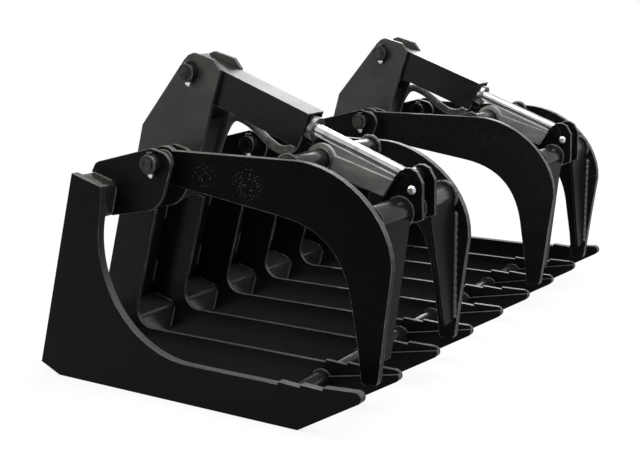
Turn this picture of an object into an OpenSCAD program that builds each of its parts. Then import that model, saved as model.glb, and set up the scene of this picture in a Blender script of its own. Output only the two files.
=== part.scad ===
// Root grapple: nine toothed plates on a leaning back, with two hydraulic jaws on top.
// Lengths are millimetres. X runs across the width, the tips point to -Y and +Z is up.
// The tines stand on z = 0. Left and right are the driver's, who looks along -Y.

/* [Plates] */
// Distance between the centres of neighbouring plates
tine_pitch = 228.6; // [215:0.1:275]
// Thickness of a tine
tine_t = 12; // [8:1:18]
// Thickness of an end plate
end_plate_t = 24; // [12:1:30]
// Height of a tine's lower limb
limb_h = 102; // [96:1:125]
// How much higher the limb and nose of an end plate are
end_step = 10; // [0:1:20]
// How much further forward the tip of an end plate is
end_forward = 14; // [0:1:20]
// Distance from the origin forward to the tips of the tines
tine_reach = 548; // [456:1:660]
// Distance from the tip back to where the bottom starts to rise
toe_len = 158; // [120:1:180]
// Radius of the nose at the tip
nose_r = 16; // [10:1:20]
// Radius of the inner corner of a tine
corner_r = 52; // [20:1:80]
// Radius of the open arch of an end plate
arch_r = 300; // [220:1:310]

/* [Back] */
// Lean of the back, in degrees
lean = 16; // [8:1:20]
// Distance from the origin back to the foot of the back edge
heel_reach = 520; // [500:1:560]
// Size of the chamfer at the heel, along the ground and upwards
heel_chamfer = [70, 30];
// Depth of a tine's upright, square to the back edge
upright_depth = 128; // [122:1:150]
// Length of the back edge up to the underside of the top tube
back_h = 493; // [455:1:590]
// Outer size of the two square tubes
tube_size = 100; // [80:1:102]
// Wall of the square tubes
tube_wall = 6.4; // [4:0.1:10]
// Setback of the square tubes from the back edge
tube_inset = 5; // [2:1:12]
// Height of the corner tube above the foot of the back edge
corner_tube_h = 16; // [10:1:30]
// Outer diameter of the front pipe
front_pipe_d = 60.3; // [42:0.1:64]
// Centre of the front pipe, as distance behind the tips and height
front_pipe_at = [240, 48];

/* [Teeth] */
// Number of saw teeth on each plate
tooth_count = 3; // [1:1:4]
// Distance between teeth
tooth_pitch = 67; // [50:1:75]
// Rise of each tooth
tooth_rise = 7; // [4:1:9]
// Fall from one tooth to the next
tooth_fall = 3; // [1:1:3]
// Distance from the tip back to the first tooth
tooth_start = 96; // [80:1:110]
// Height of the nose above the foot of the last tooth
nose_lift = 4; // [2:1:8]
// Thickness of the nose plate beside each tine
nose_plate_t = 10; // [6:1:16]

/* [Jaws] */
// Thickness of an arm
arm_t = 20; // [14:1:26]
// Height of the arms' top edge above the hinge pin
arm_rise = 31.5; // [26:0.5:38]
// Radius of an arm's end round the hinge pin
arm_eye_r = 42; // [38:1:44]
// Outer diameter of the jaw's front pipe
jaw_pipe_d = 76; // [60:1:82]
// Centre of the jaw's front pipe, as reach and height
jaw_pipe_at = [-503, 524];
// Outer diameter of the jaw's rear pipes
rear_pipe_d = 60.3; // [42:0.1:64]
// Centre of the jaw's rear pipes, as reach and height
rear_pipe_at = [-268, 645];
// Thickness of the straps, ears and tower plates
strap_t = 12.7; // [10:0.1:16]
// Thickness of the jaw's web plates
web_t = 8; // [6:1:12]
// Width of the straps
strap_w = 50; // [40:1:60]

/* [Pins] */
// Diameter of every pin
pin_d = 32; // [25:1:36]
// Hinge pin of the jaws, as reach and height
hinge_at = [121, 637.5];
// Upper cylinder pin, as reach and height
tower_pin_at = [163, 866];
// Lower cylinder pin, as reach and height
clevis_pin_at = [-512, 608.5];
// Outer diameter of the sleeves that turn on the hinge pins
sleeve_d = 60; // [50:1:66]
// Gap between the two plates that carry a pin
carrier_gap = 86; // [84:1:100]
// Thickness of a hinge bracket
bracket_t = 12; // [8:1:16]
// Outer diameter of the collar that locks a pin
collar_d = 53; // [48:1:60]
// Length of that collar
collar_len = 27; // [22:1:34]
// Diameter of the bolt through collar and pin
cross_bolt_d = 10; // [8:1:12]

/* [Cylinders] */
// Outer diameter of the barrel
barrel_d = 64; // [58:1:66]
// Bore of the barrel
barrel_bore = 50; // [44:1:52]
// Length of the barrel from its pin
barrel_len = 395; // [380:1:400]
// Length of the gland that shows past the barrel
gland_len = 20; // [14:1:26]
// Diameter of the chromed rod
rod_d = 35; // [25:1:38]
// Outer diameter of the cross tubes at both ends
eye_d = 50; // [44:1:56]
// Thickness of the guard's sheet
guard_t = 5; // [4:1:6]
// How far the guard stands above and below the cylinder's axis
guard_rise = [42, 61];

/* [Attach plate] */
// Width of the plate that the loader holds
attach_w = 1136; // [1100:1:1150]
// Height of that plate with its lip and ledge
attach_h = 460; // [400:1:480]
// Height of its foot above the underside of the corner tube
attach_rise = 14; // [8:1:20]
// Thickness of that plate
attach_t = 10; // [8:1:14]
// How far the lip reaches back and down
lip_reach = 32; // [26:1:40]
// Thickness of the lip
lip_t = 14; // [10:1:16]
// Height of the flat that is left between the face and the lip
lip_land = 4; // [3:1:10]
// Thickness of the ledge
ledge_t = 12; // [10:1:16]
// How far the ledge stands out behind the face
ledge_depth = 76; // [70:1:90]
// Distance between the centres of the two lock slots
slot_spacing = 916; // [860:1:1000]
// Length and width of a lock slot
slot_size = [70, 34];

/* [Hoses] */
// Outer diameter of the sleeved hose to the rod end
rod_hose_d = 26; // [18:1:28]
// Outer diameter of the hose to the base end
base_hose_d = 20; // [16:1:24]

/* [Clearances] */
// Gap left for welding: round a tube in a plate, and between the ledge and the face
weld_gap = 0.1; // [0.05:0.05:0.4]
// Radial running clearance of pins, rods and pistons
run_gap = 0.05; // [0.02:0.01:0.1]
// Side clearance of a sleeve or a guard between its plates
side_gap = 0.5; // [0.3:0.1:1.5]

/* [Hidden] */
$fn = 48;

black = "#2c2c2f";
edge_black = "#3a3a3d";
zinc = "#b9bcc0";
chrome = "#d9dcdf";
rubber = "#1b1b1c";

tine_count = 7;
half_width = (tine_count + 1) / 2 * tine_pitch;
frame_inner = half_width - end_plate_t / 2;
heel_y = heel_reach - heel_chamfer.x;
tip_y = -tine_reach;
tube_v = tube_inset + tube_size;
tube_top_u = back_h + tube_size;
end_nose_lift = 5;
attach_base = corner_tube_h + attach_rise;
face_foot = attach_base + ledge_t + weld_gap;
lip_top = attach_base + attach_h;
lip_foot = lip_top - 2 * lip_t * sin(45) - lip_land;
front_pipe_yz = [tip_y + front_pipe_at.x, front_pipe_at.y];

jaw_x = 2.5 * tine_pitch;
arm_dx = tine_pitch;
arm_xs = [-jaw_x - arm_dx, -jaw_x + arm_dx, jaw_x - arm_dx, jaw_x + arm_dx];
sleeve_len = carrier_gap - 2 * side_gap;
ear_gap = carrier_gap - 2 * strap_t;
ear_dx = (ear_gap + strap_t) / 2;
ear_foot = jaw_pipe_at + [61, 21];
ear_top = clevis_pin_at + [32, 0.5];
strap_dx = (carrier_gap + strap_t) / 2;
pin_hole_d = pin_d + 2 * run_gap;
bolt_hole_d = cross_bolt_d + 2 * run_gap;

// The cylinder in its closed pose: distance between its pins and slope of its axis.
cyl_run = tower_pin_at - clevis_pin_at;
cyl_len = norm(cyl_run);
cyl_slope = atan2(cyl_run.y, cyl_run.x);
guard_w = carrier_gap - 6;
guard_start = -28;
rod_end_gap = 0.3;
piston_at = 250;
piston_len = 45;

// Point in the plane of a plate, from u along the leaning back edge and v square to it.
function lean_pt(u, v) = [
  heel_reach - u * sin(lean) - v * cos(lean),
  heel_chamfer.y + u * cos(lean) - v * sin(lean)
];

function bezier(a, b, c, d, n = 14) = [
  for (i = [0 : n])
    let (t = i / n)
    a * pow(1 - t, 3) + b * 3 * t * pow(1 - t, 2) + c * 3 * t * t * (1 - t) + d * pow(t, 3)
];

// Points of the round nose, from its top round to where the rising bottom touches it.
function nose_points(centre, toe) =
  let (
    away = toe - centre,
    last = atan2(away.y, away.x) - acos(nose_r / norm(away)) + 360
  )
  [for (i = [0 : 10]) let (a = 90 + (last - 90) * i / 10) centre + nose_r * [cos(a), sin(a)]];

// Saw teeth on the top edge, from the rear one forwards.
function tooth_points(top) = [
  for (i = [0 : tooth_count - 1], step = [0, 1])
    [
      tip_y + tooth_start + (tooth_count - 1 - i) * tooth_pitch,
      top + i * (tooth_rise - tooth_fall) + step * tooth_rise
    ]
];

function nose_top(top) = top + tooth_count * (tooth_rise - tooth_fall) + nose_lift;

// A plate profile lies in the YZ plane and gets its thickness along X.
module plate(x, t) {
  translate([x - t / 2, 0, 0])
    rotate([90, 0, 90])
      linear_extrude(t)
        children();
}

module bar_x(x0, x1, at, d) {
  translate([x0, at.x, at.y])
    rotate([0, 90, 0])
      cylinder(d = d, h = x1 - x0);
}

module round_square(size, r) {
  translate([r, 0]) square([size - 2 * r, size]);
  translate([0, r]) square([size, size - 2 * r]);
  for (x = [r, size - r], y = [r, size - r])
    translate([x, y]) circle(r);
}

// Square section in the leaning frame, grown by a gap on every side.
module lean_section(u, v_front, size, r, grow = 0) {
  translate(lean_pt(u - grow, v_front + grow))
    rotate(lean)
      round_square(size + 2 * grow, r + grow);
}

module tube_section(u, grow = 0) {
  lean_section(u, tube_v, tube_size, 2 * tube_wall, grow);
}

module square_tube(u) {
  plate(0, 2 * frame_inner)
    difference() {
      tube_section(u);
      lean_section(u + tube_wall, tube_v - tube_wall, tube_size - 2 * tube_wall, tube_wall);
    }
}

// Frame plates

module tine_outline() {
  fillet_z = limb_h + corner_r;
  fillet_y = heel_reach
    - (upright_depth + corner_r + (fillet_z - heel_chamfer.y) * sin(lean)) / cos(lean);
  fillet = [fillet_y, fillet_z];
  difference() {
    polygon(concat(
      tooth_points(limb_h),
      nose_points([tip_y + nose_r, nose_top(limb_h) - nose_r], [tip_y + toe_len, 0]),
      [[tip_y + toe_len, 0], [heel_y, 0], [heel_reach, heel_chamfer.y]],
      [lean_pt(back_h, 0), lean_pt(back_h, upright_depth)],
      [fillet + corner_r * [cos(lean), sin(lean)], fillet, [fillet_y, limb_h]]
    ));
    translate(fillet) circle(corner_r, $fn = 72);
  }
}

module end_plate_outline() {
  top = limb_h + end_step;
  end_tip = tip_y - end_forward;
  toe = [tip_y + toe_len + end_forward, 0];
  nose = [end_tip + nose_r, nose_top(top) + end_nose_lift - nose_r];
  arch = [-30, top + arch_r];
  cover = 3;
  difference() {
    polygon(concat(
      tooth_points(top),
      nose_points(nose, toe),
      [toe, [heel_y, 0], [heel_reach, heel_chamfer.y]],
      [lean_pt(tube_top_u + cover, 0), lean_pt(tube_top_u + cover, tube_v + tube_inset)],
      [arch + arch_r * [cos(lean), sin(lean)], arch, [arch.x, top]]
    ));
    translate(arch) circle(arch_r, $fn = 180);
  }
}

module end_plate(side) {
  color(black)
    plate(side * half_width, end_plate_t)
      end_plate_outline();
}

module tine(index) {
  color(black)
    plate((index - (tine_count + 1) / 2) * tine_pitch, tine_t)
      difference() {
        tine_outline();
        tube_section(corner_tube_h, weld_gap);
        translate(front_pipe_yz) circle(d = front_pipe_d + 2 * weld_gap);
      }
}

// A doubler beside each tine, from the front pipe to the nose.
module nose_plates() {
  rear = front_pipe_yz.x - front_pipe_d / 2 + 6;
  nose = nose_top(limb_h);
  color(edge_black)
    for (i = [1 : tine_count])
      plate((i - (tine_count + 1) / 2) * tine_pitch - (tine_t + nose_plate_t) / 2, nose_plate_t)
        difference() {
          intersection() {
            tine_outline();
            polygon([
              [rear, front_pipe_yz.y + 18], [tip_y, nose - 8],
              [tip_y, 0], [rear, 0]
            ]);
          }
          translate(front_pipe_yz) circle(d = front_pipe_d + 2 * weld_gap);
        }
}

module front_pipe() {
  color(black)
    difference() {
      bar_x(-frame_inner, frame_inner, front_pipe_yz, front_pipe_d);
      bar_x(-frame_inner - 1, frame_inner + 1, front_pipe_yz, front_pipe_d - 11);
    }
}

// Attach plate

// The face that the loader rests on, open between the ledge and the lip.
module attach_plate() {
  color(black)
    plate(0, attach_w)
      polygon([
        lean_pt(face_foot, 0), lean_pt(face_foot, -attach_t),
        lean_pt(lip_foot, -attach_t), lean_pt(lip_foot, 0)
      ]);
}

// The lip stands on the plate's top edge; the ledge lies just below the plate's foot.
module attach_rails() {
  slot_v = attach_t + ledge_depth / 2;
  slot_at = lean_pt(attach_base, -slot_v);
  lip_out = attach_t + lip_reach;
  corner = lip_t * sin(45);
  color(black) {
    plate(0, attach_w)
      polygon([
        lean_pt(lip_foot, 0), lean_pt(lip_top, 0), lean_pt(lip_top, -attach_t),
        lean_pt(lip_top - lip_reach, -lip_out),
        lean_pt(lip_top - lip_reach - corner, -lip_out + corner),
        lean_pt(lip_top - 2 * corner, -attach_t), lean_pt(lip_foot, -attach_t)
      ]);
    difference() {
      plate(0, attach_w)
        polygon([
          lean_pt(attach_base, 0), lean_pt(attach_base, -attach_t - ledge_depth),
          lean_pt(attach_base + ledge_t, -attach_t - ledge_depth),
          lean_pt(attach_base + ledge_t, 0)
        ]);
      for (side = [-1, 1])
        translate([side * slot_spacing / 2, slot_at.x, slot_at.y])
          rotate([lean, 0, 0])
            lock_slot(ledge_t);
    }
  }
}

module lock_slot(depth) {
  half = (slot_size.x - slot_size.y) / 2;
  for (x = [-half, half])
    translate([x, 0, -depth])
      cylinder(d = slot_size.y, h = 3 * depth);
  translate([-half, -slot_size.y / 2, -depth])
    cube([2 * half, slot_size.y, 3 * depth]);
}

// Towers that carry the cylinders' upper pins

module tower_outline() {
  rear_v = -25;
  front_v = 193;
  difference() {
    polygon([
      lean_pt(tube_top_u - 53, -0.5), lean_pt(tube_top_u - 53, rear_v),
      lean_pt(tube_top_u + 105, rear_v),
      tower_pin_at + [24, 35], tower_pin_at + [8, 49], tower_pin_at + [-10, 55],
      tower_pin_at + [-79, 37], tower_pin_at + [-96, 16], tower_pin_at + [-103, 8],
      lean_pt(tube_top_u + 5, front_v), lean_pt(back_h + 60, front_v - 22),
      lean_pt(back_h + 4, tube_v + 1), lean_pt(back_h + 4, tube_inset)
    ]);
    tube_section(back_h, weld_gap);
    translate(tower_pin_at) circle(d = pin_hole_d);
  }
}

module tower_plates(x) {
  color(black)
    for (side = [-1, 1])
      plate(x + side * strap_dx, strap_t)
        tower_outline();
}

// Webs that tie the plates of each tower, just inside their front edge.
module tower_webs() {
  top = lean_pt(tube_top_u + 190, 190);
  foot = lean_pt(tube_top_u + 2, 180);
  along = (top - foot) / norm(top - foot);
  inward = [along.y, -along.x] * 10;
  color(black)
    for (x = [-jaw_x, jaw_x])
      plate(x, carrier_gap)
        polygon([top, foot, foot + inward, top + inward]);
}

// Hinge brackets, pins and collars

module bracket_outline() {
  difference() {
    union() {
      polygon([
        lean_pt(tube_top_u, 8), lean_pt(tube_top_u + 23, 12), lean_pt(tube_top_u + 51, 29),
        lean_pt(tube_top_u + 89, 110), hinge_at + [20, 47], hinge_at,
        hinge_at + [-33, -43.5], hinge_at + [-24, -99.5], hinge_at + [6, -123.5],
        hinge_at + [24, -136.5], lean_pt(back_h + 5, tube_v), lean_pt(tube_top_u - 4, tube_v - 4)
      ]);
      translate(hinge_at) circle(52, $fn = 72);
    }
    tube_section(back_h, weld_gap);
    translate(hinge_at) circle(d = pin_hole_d);
  }
}

module bracket_pair(x) {
  color(black)
    for (side = [-1, 1])
      plate(x + side * (carrier_gap + bracket_t) / 2, bracket_t)
        bracket_outline();
}

// A pin runs from its collar's end to just past the far plate.
module carried_pin(x, at, plate_t) {
  reach = carrier_gap / 2 + plate_t;
  difference() {
    bar_x(x - reach - collar_len - 3, x + reach + 8, at, pin_d);
    cross_hole(x - reach - collar_len / 2, at);
  }
}

module cross_hole(x, at) {
  translate([x, at.x, at.y - collar_d])
    cylinder(d = bolt_hole_d, h = 2 * collar_d);
}

module frame_pins() {
  color(edge_black) {
    for (x = arm_xs)
      carried_pin(x, hinge_at, bracket_t);
    for (x = [-jaw_x, jaw_x])
      carried_pin(x, tower_pin_at, strap_t);
  }
}

module collar(x, at, plate_t) {
  reach = carrier_gap / 2 + plate_t;
  difference() {
    bar_x(x - reach - collar_len, x - reach, at, collar_d);
    bar_x(x - reach - collar_len - 1, x - reach + 1, at, pin_hole_d);
    cross_hole(x - reach - collar_len / 2, at);
  }
}

module pin_collars() {
  color(black) {
    for (x = arm_xs)
      collar(x, hinge_at, bracket_t);
    for (x = [-jaw_x, jaw_x])
      collar(x, tower_pin_at, strap_t);
  }
}

// Bolt from top to bottom through a collar and its pin, with its nut below.
module cross_bolt(x, at) {
  head_h = 6.4;
  nut_h = 8;
  translate([x, at.x, at.y]) {
    translate([0, 0, -collar_d / 2 - nut_h - 4])
      cylinder(d = cross_bolt_d, h = collar_d + nut_h + 5);
    translate([0, 0, collar_d / 2])
      cylinder(d = 1.9 * cross_bolt_d, h = head_h, $fn = 6);
    translate([0, 0, -collar_d / 2 - nut_h])
      cylinder(d = 1.9 * cross_bolt_d, h = nut_h, $fn = 6);
  }
}

module cross_bolts() {
  color(zinc) {
    for (x = arm_xs)
      cross_bolt(x - carrier_gap / 2 - bracket_t - collar_len / 2, hinge_at);
    for (x = [-jaw_x, jaw_x])
      cross_bolt(x - carrier_gap / 2 - strap_t - collar_len / 2, tower_pin_at);
  }
}

// Jaws

module arm_outline() {
  top = hinge_at.y + arm_rise;
  difference() {
    union() {
      polygon(concat(
        [hinge_at, [hinge_at.x, top]],
        bezier([-300, top], [-430, top], [-582, 560], [-582, 415]),
        [[-572, 342], [-562, 263], [-545, 120], [-540, 113], [-502, 108], [-496, 114]],
        [[-487, 199]],
        bezier([-470, 301], [-455, 420], [-400, 500], [-260, 521]),
        [[hinge_at.x - 15, hinge_at.y - 62 + (arm_eye_r - 42)]]
      ));
      translate(hinge_at) circle(arm_eye_r, $fn = 72);
    }
    translate(hinge_at) circle(d = sleeve_d + 2 * weld_gap);
  }
}

module arm(x) {
  color(black)
    plate(x, arm_t)
      arm_outline();
}

module sleeves(jaw) {
  color(black)
    for (side = [-1, 1])
      translate([jaw + side * arm_dx, 0, 0])
        difference() {
          bar_x(-sleeve_len / 2, sleeve_len / 2, hinge_at, sleeve_d);
          bar_x(-sleeve_len, sleeve_len, hinge_at, pin_hole_d);
        }
}

module jaw_pipe(jaw) {
  reach = arm_dx - arm_t / 2;
  color(black)
    difference() {
      bar_x(jaw - reach, jaw + reach, jaw_pipe_at, jaw_pipe_d);
      bar_x(jaw - reach - 1, jaw + reach + 1, jaw_pipe_at, jaw_pipe_d - 12);
    }
}

// Two short pipes join the arms to the straps, and leave the middle free for the guard.
module rear_pipes(jaw) {
  outer = arm_dx - arm_t / 2;
  inner = strap_dx + strap_t / 2;
  color(black)
    for (side = [-1, 1])
      translate([jaw + side * (outer + inner) / 2, 0, 0])
        difference() {
          bar_x((inner - outer) / 2, (outer - inner) / 2, rear_pipe_at, rear_pipe_d);
          bar_x(inner - outer, outer - inner, rear_pipe_at, rear_pipe_d - 11);
        }
}

// Straps run from a round head on the rear pipes forward, and lap the ears' outer faces.
module strap_outline() {
  lap = 6;
  head_r = 45;
  edge = ear_top - ear_foot;
  run = rear_pipe_at - (ear_foot + ear_top) / 2 - [12, 14];
  slope = atan2(run.y, run.x);
  difference() {
    union() {
      translate(rear_pipe_at)
        rotate(slope)
          translate([-1.4 * norm(run), -strap_w / 2])
            square([1.4 * norm(run), strap_w]);
      translate(rear_pipe_at) circle(head_r, $fn = 72);
    }
    polygon([
      ear_foot - edge - [lap, 0], ear_top + edge - [lap, 0],
      ear_top + edge - [300, 0], ear_foot - edge - [300, 0]
    ]);
  }
}

module straps(jaw) {
  color(black)
    for (side = [-1, 1])
      plate(jaw + side * strap_dx, strap_t)
        strap_outline();
}

// Tapered plates stand on the inner faces of the arms, from the front pipe down.
module webs(jaw) {
  front_y = -541;
  foot_z = 166;
  head_z = jaw_pipe_at.y;
  foot_w = 57;
  head_w = 165;
  inner_x = arm_dx - arm_t / 2;
  color(black)
    difference() {
      for (side = [-1, 1])
        translate([jaw, front_y + web_t, 0])
          rotate([90, 0, 0])
            linear_extrude(web_t)
              polygon([
                [side * inner_x, foot_z], [side * (inner_x - foot_w), foot_z],
                [side * (inner_x - head_w), head_z], [side * inner_x, head_z]
              ]);
      bar_x(jaw - inner_x - 1, jaw + inner_x + 1, jaw_pipe_at, jaw_pipe_d + 2 * weld_gap);
    }
}

module ear_outline() {
  difference() {
    polygon([
      ear_foot, ear_top, clevis_pin_at + [12, 22.5],
      clevis_pin_at + [-4, 31], clevis_pin_at + [-20, 31.5], clevis_pin_at + [-37, 23.5],
      clevis_pin_at + [-54, -5.5], [-567, 507], [-545, 500], jaw_pipe_at
    ]);
    translate(jaw_pipe_at) circle(d = jaw_pipe_d + 2 * weld_gap);
    translate(clevis_pin_at) circle(d = pin_hole_d);
  }
}

module ears(jaw) {
  color(black)
    for (side = [-1, 1])
      plate(jaw + side * ear_dx, strap_t)
        ear_outline();
}

// The clevis pin, with the two bolts whose washers hold it in the ears.
module clevis_pin(jaw) {
  reach = ear_gap / 2 + strap_t;
  keeper = clevis_pin_at + [-24, -25];
  color(zinc) {
    bar_x(jaw - reach - 6, jaw + reach + 6, clevis_pin_at, pin_d);
    for (side = [-1, 1])
      translate([jaw + side * (reach + 3.5), keeper.x, keeper.y])
        rotate([0, 90, 0]) {
          cylinder(d = 17, h = 7, center = true, $fn = 6);
        }
  }
}

// Hydraulic cylinders. Local +Z runs from the upper pin down the axis, local +Y is up.

module on_cylinder(jaw) {
  translate([jaw, tower_pin_at.x, tower_pin_at.y])
    rotate([90 + cyl_slope, 0, 0])
      children();
}

module cross_tube(at, len) {
  translate([-len / 2, 0, at])
    rotate([0, 90, 0])
      cylinder(d = eye_d, h = len);
}

module cross_bore(at, len, d) {
  translate([-len, 0, at])
    rotate([0, 90, 0])
      cylinder(d = d, h = 2 * len);
}

module barrel(jaw) {
  floor_at = eye_d / 2 + 18;
  port_h = 9;
  color(black)
    on_cylinder(jaw)
      difference() {
        union() {
          cylinder(d = barrel_d, h = barrel_len, $fn = 72);
          cross_tube(0, sleeve_len);
          for (z = [floor_at + 24, barrel_len - 34])
            translate([0, -barrel_d / 2 + 4, z])
              rotate([90, 0, 0])
                cylinder(d = 24, h = port_h);
        }
        translate([0, 0, floor_at])
          cylinder(d = barrel_bore, h = barrel_len, $fn = 72);
        cross_bore(0, sleeve_len, pin_hole_d);
      }
}

module gland(jaw) {
  neck = 28;
  color(edge_black)
    on_cylinder(jaw)
      difference() {
        union() {
          translate([0, 0, barrel_len])
            cylinder(d = barrel_d + 4, h = gland_len, $fn = 72);
          translate([0, 0, barrel_len - neck])
            cylinder(d = barrel_bore - 2 * run_gap, h = neck + 1, $fn = 72);
        }
        translate([0, 0, barrel_len - neck - 1])
          cylinder(d = rod_d + 2 * run_gap, h = neck + gland_len + 2);
      }
}

// Inverted channel over the barrel, hung on the upper cross tube.
module guard(jaw) {
  guard_l = barrel_len - guard_start;
  color(black)
    on_cylinder(jaw)
      difference() {
        translate([-guard_w / 2, -guard_rise.y, guard_start])
          cube([guard_w, guard_rise.x + guard_rise.y, guard_l]);
        translate([-guard_w / 2 + guard_t, -guard_rise.y - guard_t, guard_start - 1])
          cube([guard_w - 2 * guard_t, guard_rise.x + guard_rise.y, guard_l + 2]);
        cross_bore(0, guard_w, eye_d + 2 * weld_gap);
      }
}

module rod(jaw) {
  end = cyl_len - eye_d / 2 - rod_end_gap;
  color(chrome)
    on_cylinder(jaw) {
      translate([0, 0, piston_at])
        cylinder(d = rod_d, h = end - piston_at);
      translate([0, 0, piston_at])
        cylinder(d = barrel_bore - 2 * run_gap, h = piston_len, $fn = 72);
    }
}

// Cross tube at the end of the rod, which turns on the clevis pin.
module rod_eye(jaw) {
  eye_len = ear_gap - 2 * side_gap;
  color(black)
    on_cylinder(jaw)
      difference() {
        cross_tube(cyl_len, eye_len);
        cross_bore(cyl_len, eye_len, pin_hole_d);
      }
}

// Hoses, swept along points chosen by hand as offsets in X from the jaw's middle.

rod_hose_route = [
  [73, 257, 537], [73, 236, 531], [73, 214, 543], [73, 194, 574], [73, 170, 635],
  [73, 144, 690], [73, 120, 722], [72, 93, 730], [68, 51, 716], [60, 13, 695],
  [46, -28, 672], [30, -72, 654], [14, -112, 653], [4, -142, 664], [0, -154, 685], [0, -161, 702]
];
base_hose_route = [
  [0, 295, 597], [0, 283, 639], [0, 268, 686], [0, 240, 724], [0, 204, 749],
  [0, 168, 763], [0, 138, 775], [0, 120, 790], [0, 114, 807]
];

function hose_ring(route, i, r) =
  let (
    before = route[max(i - 1, 0)],
    after = route[min(i + 1, len(route) - 1)],
    t = (after - before) / norm(after - before),
    side = cross(t, [1, 0, 0]),
    n = side / norm(side),
    b = cross(t, n)
  )
  [for (k = [0 : 9]) route[i] + r * (cos(36 * k) * n + sin(36 * k) * b)];

module hose(jaw, route, d) {
  rings = len(route);
  color(rubber)
    translate([jaw, 0, 0])
      polyhedron(
        points = [for (i = [0 : rings - 1], p = hose_ring(route, i, d / 2)) p],
        faces = concat(
          [[for (k = [0 : 9]) k]],
          [
            for (i = [0 : rings - 2], k = [0 : 9])
              [
                i * 10 + k, (i + 1) * 10 + k,
                (i + 1) * 10 + (k + 1) % 10, i * 10 + (k + 1) % 10
              ]
          ],
          [[for (k = [9 : -1 : 0]) (rings - 1) * 10 + k]]
        ),
        convexity = 4
      );
}

// Fittings on the top tube, where the hoses start.
module hose_ports() {
  side = rod_hose_route[0].x;
  front = lean_pt(tube_top_u - 33, tube_v);
  top = lean_pt(tube_top_u, 60);
  color(zinc)
    for (x = [-jaw_x, jaw_x]) {
      translate([x + side, front.x, front.y])
        rotate([90 + lean, 0, 0])
          cylinder(d = 30, h = 8, $fn = 6);
      translate([x, top.x, top.y])
        rotate([lean, 0, 0])
          cylinder(d = 27, h = 14, $fn = 6);
    }
}

end_plate(-1);  // end_plate_right
tine(1);  // tine_1
tine(2);  // tine_2
tine(3);  // tine_3
tine(4);  // tine_4
tine(5);  // tine_5
tine(6);  // tine_6
tine(7);  // tine_7
end_plate(1);  // end_plate_left
nose_plates();
color(black) square_tube(back_h);  // top_tube
color(black) square_tube(corner_tube_h);  // corner_tube
front_pipe();
attach_plate();
attach_rails();
tower_plates(-jaw_x);  // right_tower_plates
tower_plates(jaw_x);  // left_tower_plates
tower_webs();
bracket_pair(arm_xs[0]);  // right_outer_bracket
bracket_pair(arm_xs[1]);  // right_inner_bracket
bracket_pair(arm_xs[2]);  // left_inner_bracket
bracket_pair(arm_xs[3]);  // left_outer_bracket
frame_pins();
pin_collars();
cross_bolts();
hose_ports();
arm(-jaw_x - arm_dx);  // right_outer_arm
arm(-jaw_x + arm_dx);  // right_inner_arm
sleeves(-jaw_x);  // right_sleeves
jaw_pipe(-jaw_x);  // right_jaw_pipe
rear_pipes(-jaw_x);  // right_rear_pipes
straps(-jaw_x);  // right_straps
webs(-jaw_x);  // right_webs
ears(-jaw_x);  // right_ears
clevis_pin(-jaw_x);  // right_clevis_pin
rod_eye(-jaw_x);  // right_rod_eye
barrel(-jaw_x);  // right_barrel
gland(-jaw_x);  // right_gland
guard(-jaw_x);  // right_guard
rod(-jaw_x);  // right_rod
hose(-jaw_x, rod_hose_route, rod_hose_d);  // right_rod_hose
hose(-jaw_x, base_hose_route, base_hose_d);  // right_base_hose
arm(jaw_x + arm_dx);  // left_outer_arm
arm(jaw_x - arm_dx);  // left_inner_arm
sleeves(jaw_x);  // left_sleeves
jaw_pipe(jaw_x);  // left_jaw_pipe
rear_pipes(jaw_x);  // left_rear_pipes
straps(jaw_x);  // left_straps
webs(jaw_x);  // left_webs
ears(jaw_x);  // left_ears
clevis_pin(jaw_x);  // left_clevis_pin
rod_eye(jaw_x);  // left_rod_eye
barrel(jaw_x);  // left_barrel
gland(jaw_x);  // left_gland
guard(jaw_x);  // left_guard
rod(jaw_x);  // left_rod
hose(jaw_x, rod_hose_route, rod_hose_d);  // left_rod_hose
hose(jaw_x, base_hose_route, base_hose_d);  // left_base_hose
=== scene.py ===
"""Root grapple: paint, welds, hoses and bolts on the leaning toothed frame and its two jaws."""
import logging
import math
from dataclasses import dataclass
from enum import Enum

import bmesh
import bpy
import numpy as np
from mathutils import Matrix


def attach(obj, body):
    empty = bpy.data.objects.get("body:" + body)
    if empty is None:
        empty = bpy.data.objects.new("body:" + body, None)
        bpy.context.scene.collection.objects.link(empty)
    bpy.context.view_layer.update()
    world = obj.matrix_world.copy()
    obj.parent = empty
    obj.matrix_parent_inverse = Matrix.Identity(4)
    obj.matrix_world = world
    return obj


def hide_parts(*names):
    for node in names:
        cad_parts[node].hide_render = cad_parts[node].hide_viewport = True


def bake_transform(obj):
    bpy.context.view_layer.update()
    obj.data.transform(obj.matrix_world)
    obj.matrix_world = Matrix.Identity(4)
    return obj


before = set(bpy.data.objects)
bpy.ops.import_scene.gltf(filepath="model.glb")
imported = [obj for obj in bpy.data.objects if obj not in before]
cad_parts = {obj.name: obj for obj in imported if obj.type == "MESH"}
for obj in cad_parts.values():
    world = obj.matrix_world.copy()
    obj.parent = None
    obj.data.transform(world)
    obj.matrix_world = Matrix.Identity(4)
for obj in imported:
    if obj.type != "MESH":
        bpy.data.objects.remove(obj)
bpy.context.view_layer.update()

log = logging.getLogger("grapple")
Array = np.ndarray
Pair = tuple[float, float]
Colour = tuple[float, float, float]
Place = tuple[float, float, float]
Finishes = dict[str, bpy.types.Material]

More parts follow.
